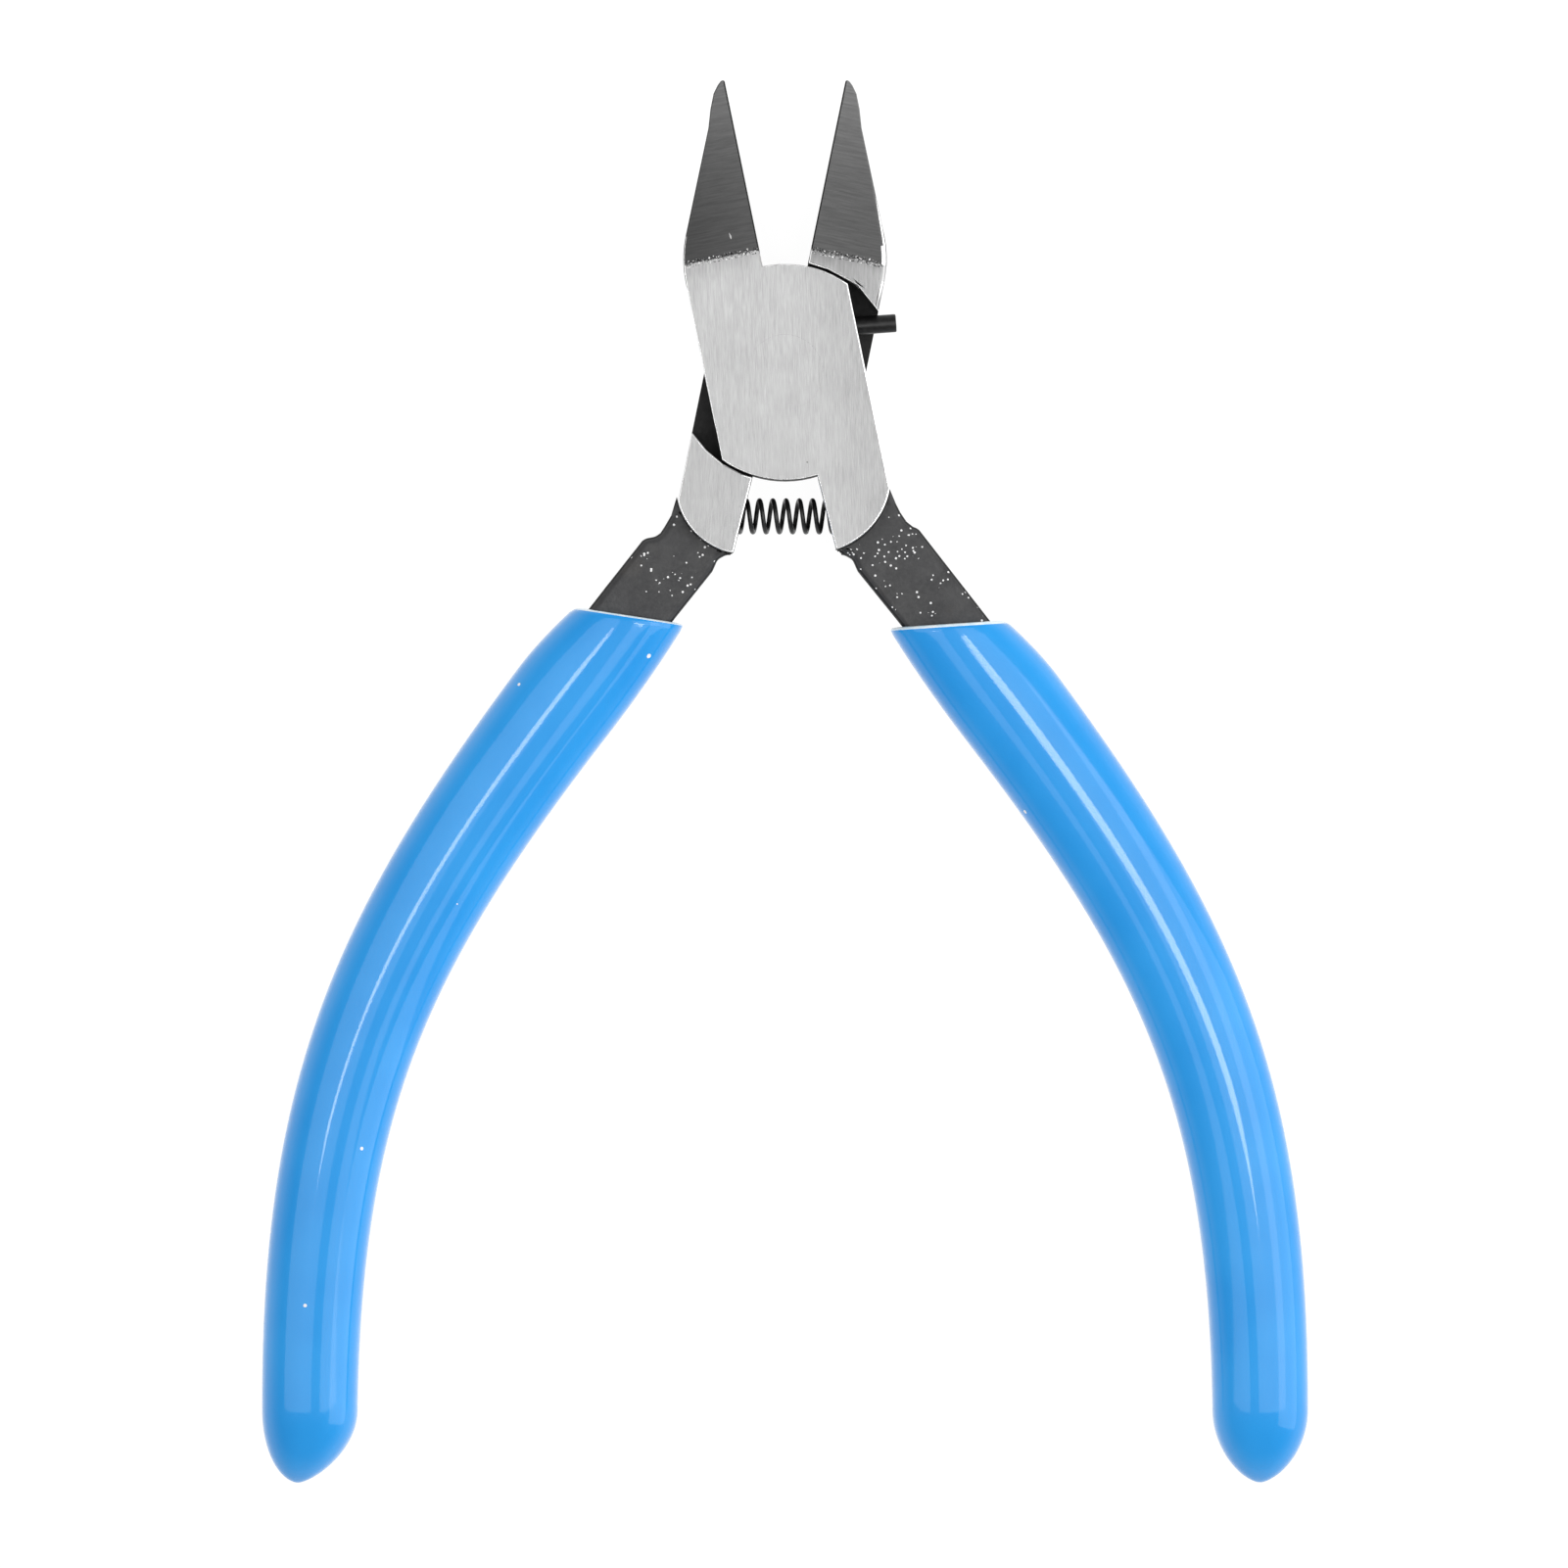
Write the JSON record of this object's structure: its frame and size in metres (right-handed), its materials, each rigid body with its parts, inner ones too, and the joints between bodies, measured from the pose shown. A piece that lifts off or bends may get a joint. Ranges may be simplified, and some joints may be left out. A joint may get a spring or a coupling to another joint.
{
  "type": "flush cut pliers",
  "caption": "Spring-opened flush cutting pliers with tapered jaws, a riveted lap joint, a stop pin and curved vinyl sleeve grips.",
  "frame": {"origin": "on the rivet's axis at the flat back face of the joint", "axes": "+Z from the back face to the front face along the rivet, +Y from the rivet to the jaw tips midway between the levers, +X to the right as seen from the front"},
  "size_m": [0.0918, 0.1232, 0.008],
  "materials": {
    "ground_steel": "joint faces ground bright along the tool, jaw faces ground darker across the jaw, necks left in black forging scale",
    "rivet_steel": "ground flush with the joint's faces",
    "spring_wire": "blackened spring wire",
    "pin_steel": "blackened steel",
    "blue_vinyl": "smooth glossy dipped vinyl"
  },
  "bodies": {
    "rear_lever_body": {"rear_lever": "ground_steel", "left_grip": "blue_vinyl", "pivot_rivet": "rivet_steel", "return_spring": "spring_wire"},
    "front_lever_body": {"front_lever": "ground_steel", "right_grip": "blue_vinyl", "stop_pin": "pin_steel"}
  },
  "joints": [
    {"name": "jaw_pivot", "type": "hinge", "parent": "rear_lever_body", "child": "front_lever_body", "pos_m": [0, 0, 0], "axis": [0, 0, 1], "range_deg": [-23.2, 0], "stiffness_Nm_per_rad": 0.29, "springref_deg": 5.73, "deforming": ["return_spring"]}
  ]
}
